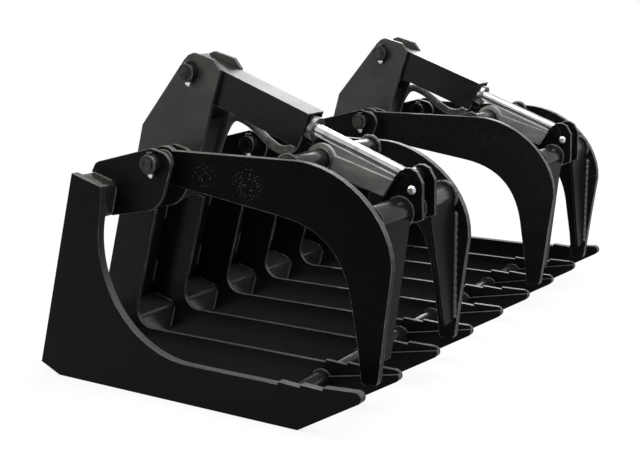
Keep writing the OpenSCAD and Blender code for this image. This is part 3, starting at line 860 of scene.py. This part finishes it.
    def jaw_beads(self, side: Side) -> list[Patch]:
        """The beads of one jaw: pipes, sleeves, ears and webs."""
        beads: list[Patch] = []
        for way in BOTH:
            inner = side.x + way * (PITCH - ARM_HALF)
            outer = side.x + way * (PITCH + ARM_HALF)
            strap = side.x + way * (FORK_HALF + PLATE_T)
            beads += [
                self.ring(inner, JAW_PIPE, JAW_PIPE_R, -way, self.jaw_pipe_leg),
                self.ring(inner, REAR_PIPE, PIPE_R, -way, self.jaw_pipe_leg),
                self.ring(strap, REAR_PIPE, PIPE_R, way),
                self.ring(inner, HINGE, SLEEVE_R, -way, self.sleeve_leg),
                self.ring(outer, HINGE, SLEEVE_R, way, self.sleeve_leg),
            ]
            for face, out in ((FORK_HALF - PLATE_T, -way), (FORK_HALF, way)):
                beads.append(self.ring(side.x + way * face, JAW_PIPE, JAW_PIPE_R, out, self.small_leg))
            for y, out, leg in ((*self.web_front, self.jaw_web_leg), (*self.web_rear, self.leg)):
                low, high = (np.array([inner, y, z]) for z in self.web_span)
                beads.append(self.line(low, high, -ACROSS * way, REARWARD * out, leg))
        return beads

    def lay(self, finishes: Finishes) -> None:
        """Makes the weld pieces of the frame and of both jaws."""
        pieces = [("tine_welds", self.tine_beads(), "frame"), ("pipe_welds", self.pipe_beads(), "frame"),
                  ("carrier_welds", self.carrier_beads(), "frame")]
        pieces += [(f"{side.label}_jaw_welds", self.jaw_beads(side), f"{side.label}_jaw")
                   for side in Side]
        for name, beads, body in pieces:
            make_piece(name, beads, body, finishes["weld"])


def turned(profile: list[Pair], at: Array, along: Array, sides: int = 48,
           hexagon: bool = False) -> Patch:
    """A profile carried round an axis.

    Each ring lies at a height along the axis and has one radius. On a hexagonal piece the radius is
    the smaller of that and the distance to the hexagon's flats, which leaves chamfered corners.

    Args:
        profile: height and radius of each ring, in millimetres, from one end to the other.
        at: where height 0 lies.
        along: direction of the axis.
        sides: points in a ring.
        hexagon: whether the piece has six flats, whose corners lie at the widest radius.

    Returns:
        Points and quads.
    """
    heights, radii = np.array(profile).T
    axis = unit(along)
    helper = UPWARD if abs(axis[2]) < 0.9 else ACROSS
    one = unit(np.cross(helper, axis))
    two = np.cross(axis, one)
    angle = np.arange(sides) * math.tau / sides
    radius = np.repeat(radii[:, None], sides, axis=1)
    if hexagon:
        flat = radii.max() * math.cos(math.pi / 6.0)
        to_flat = flat / np.cos((angle + math.pi / 6.0) % (math.pi / 3.0) - math.pi / 6.0)
        radius = np.minimum(radius, to_flat[None, :])
    spread = np.cos(angle)[:, None] * one + np.sin(angle)[:, None] * two
    points = at + heights[:, None, None] * axis + radius[:, :, None] * spread[None]
    return points.reshape(-1, 3), grid_faces(len(heights), sides, loop=False)


@dataclass
class CollarBolts:
    """The bolts through the locking collars and the keepers beside the clevis pins."""

    bolt_d: float = 10.0
    head_r: float = 9.4
    head_h: float = 6.4
    nut_h: float = 8.0
    thread_pitch: float = 1.5
    thread_end: float = 3.8
    collar_r: float = 26.5
    collar_half: float = 13.5
    keeper_r: float = 10.2
    keeper_h: float = 5.6
    keeper_place: Pair = (-24.0, -25.0)

    def head(self, at: Array, along: Array, radius: float, height: float) -> Patch:
        """A hexagon head or nut with its corners chamfered, closed at both ends."""
        rim = radius * 0.87
        profile = [(0.0, 0.0), (0.0, rim), (0.6, radius), (height - 1.1, radius), (height, rim * 0.98),
                   (height, rim * 0.62), (height - 0.3, 0.0)]
        return turned(profile, at, along, hexagon=True)

    def washer(self, at: Array, along: Array, radius: float, height: float) -> Patch:
        """A plain washer with a rounded rim."""
        profile = [(0.0, 0.0), (0.0, radius - 0.4), (0.4, radius), (height - 0.4, radius),
                   (height, radius - 0.4), (height, 0.0)]
        return turned(profile, at, along, 40)

    def thread(self, at: Array, along: Array, length: float) -> Patch:
        """A threaded end: its radius swings between crest and root once a pitch."""
        height = np.linspace(0.0, length, max(int(4.0 * length / self.thread_pitch), 8))
        radius = self.bolt_d / 2.0 - 0.35 + 0.35 * np.cos(height * math.tau / self.thread_pitch)
        rows = [(0.0, 0.0), *zip(height.tolist(), radius.tolist()), (length + 0.5, self.bolt_d * 0.36),
                (length + 0.5, 0.0)]
        return turned(rows, at, along, 20)

    def through_collar(self, x: float, at: Pair) -> tuple[Patch, list[Patch]]:
        """The head on top of a collar, and the nut below it with the bolt's end."""
        centre = np.array([x, *at])
        foot = centre - UPWARD * self.collar_r
        head = self.head(centre + UPWARD * self.collar_r, UPWARD, self.head_r, self.head_h)
        nut = self.head(foot, -UPWARD, self.head_r, self.nut_h)
        below = foot - UPWARD * (self.nut_h - 0.4)
        return head, [nut, self.thread(below, -UPWARD, self.thread_end)]

    def keeper(self, x: float, way: float) -> list[Patch]:
        """The bolt and washer that hold a clevis pin, on the outside of an ear."""
        at = np.array([x, *np.add(CLEVIS_PIN, self.keeper_place)])
        out = ACROSS * way
        return [self.washer(at, out, 12.0, 2.0),
                self.head(at + out * 1.8, out, self.keeper_r, self.keeper_h)]

    def fit(self, finishes: Finishes) -> None:
        """Makes the bolts of the frame and of both jaws."""
        heads: list[Patch] = []
        nuts: list[Patch] = []
        places = [(x - FORK_HALF - BRACKET_T - self.collar_half, HINGE) for x in ARM_XS]
        places += [(side.x - FORK_HALF - PLATE_T - self.collar_half, TOWER_PIN) for side in Side]
        for x, at in places:
            head, below = self.through_collar(x, at)
            heads.append(head)
            nuts += below
        made = make_piece("collar_nuts", nuts, "frame", finishes["zinc"])
        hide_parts("cross_bolts")
        make_piece("collar_bolt_heads", heads, "frame", finishes["bolt"])
        for side in Side:
            keepers = [part for way in BOTH for part in self.keeper(side.x + way * FORK_HALF, way)]
            make_piece(f"{side.label}_keepers", keepers, f"{side.label}_jaw",
                       finishes["zinc"])


@dataclass
class Hoses:
    """The hoses from the top tube to both ends of each cylinder, woven sleeve and crimped ends."""

    rod_hose_d: float = 26.0
    base_hose_d: float = 20.0
    ferrule_span: Pair = (9.0, 34.0)
    crimp_pitch: float = 5.0
    crimp_depth: float = 0.7
    sides: int = 28
    steps: int = 9
    rod_route: tuple[Place, ...] = (
        (73, 257, 537), (73, 236, 531), (73, 214, 543), (73, 194, 574), (73, 170, 635),
        (73, 144, 690), (73, 120, 722), (72, 93, 730), (68, 51, 716), (60, 13, 695),
        (46, -28, 672), (30, -72, 654), (14, -112, 653), (4, -142, 664), (0, -154, 685),
        (0, -161, 702),
    )
    base_route: tuple[Place, ...] = (
        (0, 295, 597), (0, 283, 639), (0, 268, 686), (0, 240, 724), (0, 204, 749),
        (0, 168, 763), (0, 138, 775), (0, 120, 790), (0, 114, 807),
    )

    def smooth(self, route: Array) -> Array:
        """A curve through the route's points.

        Between two points it is the cubic whose slopes there are half the way from the point before
        to the point after, sampled evenly.
        """
        padded = np.vstack([2 * route[0] - route[1], route, 2 * route[-1] - route[-2]])
        a, b, c, d = padded[:-3], padded[1:-2], padded[2:-1], padded[3:]
        t = np.linspace(0.0, 1.0, self.steps, endpoint=False)[None, :, None]
        a, b, c, d = (p[:, None, :] for p in (a, b, c, d))
        curve = 0.5 * (2 * b + (c - a) * t + (2 * a - 5 * b + 4 * c - d) * t**2
                       + (3 * b - a - 3 * c + d) * t**3)
        return np.vstack([curve.reshape(-1, 3), route[-1]])

    def tube(self, path: Array, diameter: float) -> Patch:
        """A round tube along a path, its rings square to it, closed at both ends."""
        slope = unit(np.gradient(path, axis=0))
        side = unit(np.cross(slope, ACROSS))
        over = np.cross(slope, side)
        angle = np.arange(self.sides) * math.tau / self.sides
        rings = (np.cos(angle)[None, :, None] * side[:, None, :]
                 + np.sin(angle)[None, :, None] * over[:, None, :])
        path = np.vstack([path[:1], path[:1], path[1:-1], path[-1:], path[-1:]])
        radius = np.full(len(path), diameter / 2.0)
        radius[[0, -1]] = 0.0
        rings = np.concatenate([rings[:1], rings[:1], rings[1:-1], rings[-1:], rings[-1:]])
        points = path[:, None, :] + radius[:, None, None] * rings
        return points.reshape(-1, 3), grid_faces(len(path), self.sides, loop=False)

    def wrap(self, piece: bpy.types.Object, path: Array) -> None:
        """Lays a UV map on a hose: U once round it, V along it in turns of its own girth."""
        mesh = piece.data
        co = np.zeros(len(mesh.vertices) * 3, np.float32)
        mesh.vertices.foreach_get("co", co)
        co = co.reshape(-1, 3)
        line = path * MM
        near = np.argmin(((co[:, None, :] - line[None]) ** 2).sum(axis=2), axis=1)
        run = np.concatenate([[0.0], np.cumsum(np.linalg.norm(np.diff(line, axis=0), axis=1))])
        side = unit(np.cross(np.gradient(line, axis=0), ACROSS))
        away = co - line[near]
        turn = np.arctan2(away @ ACROSS, (away * side[near]).sum(axis=1)) / math.tau
        girth = math.pi * self.rod_hose_d * MM
        loops = values_of(mesh.loops, "vertex_index", np.int32)
        u = turn[loops]
        starts = values_of(mesh.polygons, "loop_start", np.int32)
        first = np.repeat(u[starts], values_of(mesh.polygons, "loop_total", np.int32))
        u = u - np.round(u - first)
        layer = mesh.uv_layers.new(name="around")
        layer.data.foreach_set("uv", np.stack([u, run[near][loops] / girth], axis=1)
                               .astype(np.float32).ravel())

    def ferrule(self, at: Array, along: Array, diameter: float) -> list[Patch]:
        """A crimped ferrule with pressed waists, and its nut towards the port."""
        radius = diameter / 2.0
        start, end = self.ferrule_span
        height = np.linspace(start, end, 46)
        waist = 0.5 + 0.5 * np.cos((height - start) * math.tau / self.crimp_pitch)
        pressed = radius + 1.9 - self.crimp_depth * waist
        body = [(start, 0.0), *zip(height.tolist(), pressed.tolist()), (end, 0.0)]
        nut = [(0.4, 0.0), (0.4, radius * 0.9), (1.2, radius + 1.5), (9.2, radius + 1.5),
               (10.0, radius * 0.9), (10.0, 0.0)]
        return [turned(body, at, along, 32), turned(nut, at, along, hexagon=True)]

    def run(self, side: Side, finishes: Finishes) -> None:
        """Makes the two hoses of one cylinder and their fittings."""
        cylinder = f"{side.label}_cylinder"
        offset = np.array([side.x, 0.0, 0.0])
        for name, route, diameter, cover in (
            ("rod_hose", self.rod_route, self.rod_hose_d, "sleeve"),
            ("base_hose", self.base_route, self.base_hose_d, "hose"),
        ):
            path = self.smooth(np.array(route, float) + offset)
            label = f"{side.label}_{name}"
            piece = make_piece(f"{label}_sleeve", [self.tube(path, diameter)], "",
                               finishes[cover])
            self.wrap(piece, path)
            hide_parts(label)
            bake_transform(piece)
            for end, at, towards, body in (("foot", path[0], path[1], "frame"),
                                           ("head", path[-1], path[-2], cylinder)):
                make_piece(f"{label}_{end}", self.ferrule(at, towards - at, diameter), body,
                           finishes["zinc"])


@dataclass(frozen=True)
class Lamp:
    """A square soft lamp that looks at a point; places and size in metres, power in watts."""

    name: str
    at: Place
    aim: Place
    size: float
    power: float
    tint: Colour = (1.0, 1.0, 1.0)

    def hang(self) -> None:
        """Puts the lamp in the scene."""
        data = bpy.data.lights.new(self.name, "AREA")
        data.size = self.size
        data.energy = self.power
        data.color = self.tint
        lamp = add_object(self.name, data)
        back = unit(np.array(self.at) - np.array(self.aim))
        helper = UPWARD if abs(back[2]) < 0.95 else REARWARD
        lamp.matrix_world = Matrix.Translation(self.at) @ turn_to(back, unit(np.cross(helper, back)))


@dataclass
class Studio:
    """Pale floor, soft lamps, white surroundings and the camera at the photograph's angle.

    Angles are in degrees, places in metres. surround is the strength of the grey light from all
    sides, and floor_half is half the floor's width.
    """

    azimuth: float = -58.28
    elevation: float = 12.31
    roll: float = -0.485
    place: Place = (-3.1065, -1.7965, 1.0754)
    lens: float = 61.5
    sensor: float = 36.0
    surround: float = 0.42
    floor_half: float = 14.0
    lamps: tuple[Lamp, ...] = (
        Lamp("overhead", at=(-0.2, -0.9, 3.4), aim=(0.0, -0.1, 0.4), size=2.6, power=150.0,
             tint=(1.0, 0.99, 0.98)),
        Lamp("front", at=(0.6, -3.6, 2.9), aim=(0.0, -0.3, 0.4), size=2.0, power=55.0,
             tint=(0.97, 0.98, 1.0)),
        Lamp("far_side", at=(4.2, 1.5, 2.6), aim=(0.3, 0.1, 0.7), size=2.2, power=85.0),
        Lamp("warm_side", at=(-2.2, 1.5, 1.9), aim=(-0.6, 0.2, 0.75), size=0.9, power=30.0,
             tint=(1.0, 0.90, 0.70)),
    )

    def camera(self) -> None:
        """Puts the camera where its right, up and backward directions follow the three angles."""
        a, e, r = (math.radians(angle) for angle in (self.azimuth, self.elevation, self.roll))
        back = np.array([math.sin(a) * math.cos(e), -math.cos(a) * math.cos(e), math.sin(e)])
        level = unit(np.cross(UPWARD, back))
        right = math.cos(r) * level + math.sin(r) * np.cross(back, level)
        data = bpy.data.cameras.new("camera")
        data.lens = self.lens
        data.sensor_fit = "HORIZONTAL"
        data.sensor_width = self.sensor
        view = add_object("camera", data)
        view.matrix_world = Matrix.Translation(self.place) @ turn_to(back, right)
        bpy.context.scene.camera = view

    def world(self) -> None:
        """White to the camera and to mirrors, and a soft grey light to everything else."""
        world = bpy.data.worlds.new("studio")
        bpy.context.scene.world = world
        g = Graph(world)
        strength = g.rays("Is Camera Ray", "Is Glossy Ray") * (1.0 - self.surround) + self.surround
        g.surface(g.node("ShaderNodeBackground", None, {"Color": WHITE, "Strength": strength}))

    def floor(self) -> None:
        """A wide plane at the foot of the plates, not part of the object."""
        mesh = bpy.data.meshes.new("floor")
        half = self.floor_half
        mesh.from_pydata([(-half, -half, 0.0), (half, -half, 0.0), (half, half, 0.0),
                          (-half, half, 0.0)], [], [(0, 1, 2, 3)])
        plane = add_object("floor", mesh)
        mesh.materials.append(Stage("pale_floor").make())

    def build(self) -> None:
        """Sets up the whole studio."""
        bpy.context.scene.view_settings.view_transform = "Standard"
        self.camera()
        self.world()
        self.floor()
        for lamp in self.lamps:
            lamp.hang()


def main() -> None:
    """Builds the studio, dresses the steelwork and adds welds, bolts and hoses."""
    logging.basicConfig(level=logging.INFO, format="%(message)s")
    Studio().build()
    finishes = {plain: finish.make() for plain, finish in FINISHES.items()}
    Steelwork().dress(finishes)
    HingeBrackets().fit(finishes)
    WeldBeads().lay(finishes)
    CollarBolts().fit(finishes)
    for side in Side:
        Hoses().run(side, finishes)


if __name__ == "__main__":
    main()
